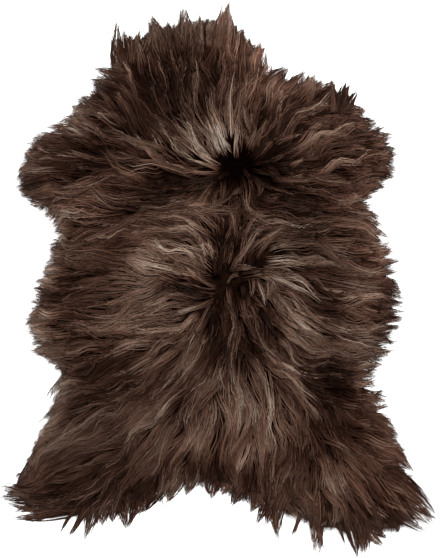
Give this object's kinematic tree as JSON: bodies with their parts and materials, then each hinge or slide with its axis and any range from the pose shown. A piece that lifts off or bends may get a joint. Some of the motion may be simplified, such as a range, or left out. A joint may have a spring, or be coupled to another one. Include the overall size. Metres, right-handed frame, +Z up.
{
  "type": "icelandic sheepskin",
  "caption": "Long-haired brown sheepskin throw lying flat, wool up, with a neck, fore and hind leg corners and pointed locks round its rim.",
  "frame": {"origin": "middle of the underside's bounding box, on the surface it lies on", "axes": "+X to the right of the skin seen from above, +Y from the tail to the neck, +Z up out of the wool"},
  "size_m": [0.8318, 1.0526, 0.0617],
  "materials": {
    "wool": "matte",
    "hide": "matte"
  },
  "bodies": {
    "root": {"sheepskin": "wool"}
  },
  "joints": []
}
